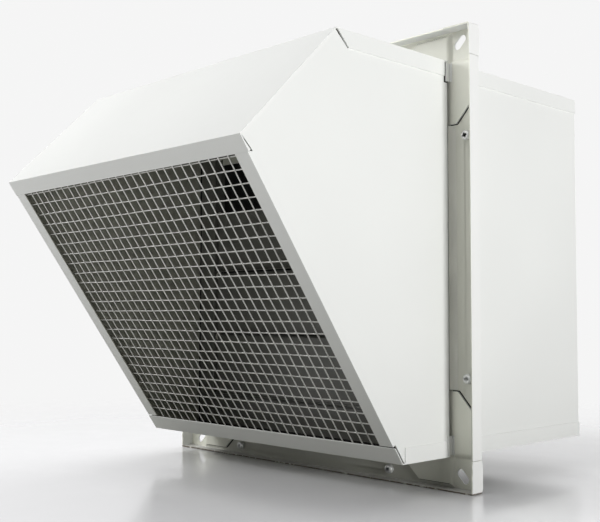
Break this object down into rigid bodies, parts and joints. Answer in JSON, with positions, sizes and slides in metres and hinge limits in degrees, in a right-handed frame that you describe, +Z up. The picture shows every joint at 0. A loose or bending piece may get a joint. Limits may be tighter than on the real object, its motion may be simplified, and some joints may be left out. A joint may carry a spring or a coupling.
{
  "type": "wall exhaust fan with weather hood",
  "caption": "Square wall-mounted axial exhaust fan with a sloping weather hood, mesh-covered mouth, gravity shutter and slotted mounting flange",
  "frame": {"origin": "on the fan axis in the wall plane, which is the rear face of the mounting flange, at the centre of the four bolt slots", "axes": "+X right seen from the hood side, +Y into the wall along the fan axis, +Z up"},
  "size_m": [0.465, 0.557, 0.465],
  "materials": {
    "hood_paint": "white powder coat, satin",
    "mesh_steel": "bright galvanised wire",
    "flange_paint": "white powder coat, satin",
    "corner_paint": "white powder coat over stamped steel",
    "casing_paint": "white powder coat, satin",
    "panel_paint": "white powder coat, satin",
    "screw_zinc": "bright zinc plating",
    "shutter_sheet": "dark grey coated sheet, satin",
    "pivot_steel": "drawn steel rod",
    "bush_nylon": "natural nylon",
    "motor_paint": "dark grey enamel on cast aluminium",
    "bearing_steel": "ground bearing steel",
    "rotor_steel": "turned steel",
    "bar_steel": "dark grey enamel",
    "bolt_steel": "zinc plating",
    "impeller_paint": "black powder coat",
    "guard_paint": "white dipped wire",
    "box_plastic": "dark grey moulded plastic",
    "gland_plastic": "black nylon",
    "box_screw_zinc": "zinc plating"
  },
  "bodies": {
    "housing": {"hood_top": "hood_paint", "hood_bottom": "hood_paint", "hood_side_left": "hood_paint", "hood_side_right": "hood_paint", "mesh_wires_down": "mesh_steel", "mesh_wires_across": "mesh_steel", "flange_top": "flange_paint", "flange_bottom": "flange_paint", "flange_left": "flange_paint", "flange_right": "flange_paint", "corner_top_left": "corner_paint", "corner_top_right": "corner_paint", "corner_bottom_left": "corner_paint", "corner_bottom_right": "corner_paint", "casing_top": "casing_paint", "casing_bottom": "casing_paint", "casing_left": "casing_paint", "casing_right": "casing_paint", "rear_panel": "panel_paint", "flange_screws": "screw_zinc", "rear_panel_screws": "screw_zinc", "shutter_frame": "shutter_sheet", "shutter_bushes": "bush_nylon", "motor_shell": "motor_paint", "motor_cap_front": "motor_paint", "motor_cap_rear": "motor_paint", "motor_bearing_front": "bearing_steel", "motor_bearing_rear": "bearing_steel", "motor_bar_left": "bar_steel", "motor_bar_right": "bar_steel", "motor_bolts": "bolt_steel", "guard_ring": "guard_paint", "guard_wires": "guard_paint", "guard_stays": "guard_paint", "guard_posts": "guard_paint", "terminal_box": "box_plastic", "terminal_lid": "box_plastic", "cable_gland": "gland_plastic", "terminal_screws": "box_screw_zinc"},
    "rotor": {"motor_shaft": "rotor_steel", "rotor_core": "rotor_steel", "impeller_hub": "impeller_paint", "impeller_blades": "impeller_paint", "impeller_nut": "rotor_steel"},
    "louvre_1": {"shutter_blade_1": "shutter_sheet", "shutter_rod_1": "pivot_steel"},
    "louvre_2": {"shutter_blade_2": "shutter_sheet", "shutter_rod_2": "pivot_steel"},
    "louvre_3": {"shutter_blade_3": "shutter_sheet", "shutter_rod_3": "pivot_steel"},
    "louvre_4": {"shutter_blade_4": "shutter_sheet", "shutter_rod_4": "pivot_steel"}
  },
  "joints": [
    {"name": "fan_spin", "type": "hinge", "parent": "housing", "child": "rotor", "pos_m": [0, 0.095, 0], "axis": [0, 1, 0], "continuous": true},
    {"name": "louvre_1_swing", "type": "hinge", "parent": "housing", "child": "louvre_1", "pos_m": [0, -0.009, 0.146], "axis": [-1, 0, 0], "range_deg": [-76, 4]},
    {"name": "louvre_2_swing", "type": "hinge", "parent": "housing", "child": "louvre_2", "pos_m": [0, -0.009, 0.06857], "axis": [-1, 0, 0], "range_deg": [0, 80]},
    {"name": "louvre_3_swing", "type": "hinge", "parent": "housing", "child": "louvre_3", "pos_m": [0, -0.009, -0.00885], "axis": [-1, 0, 0], "range_deg": [0, 80]},
    {"name": "louvre_4_swing", "type": "hinge", "parent": "housing", "child": "louvre_4", "pos_m": [0, -0.009, -0.08628], "axis": [-1, 0, 0], "range_deg": [0, 80]}
  ]
}
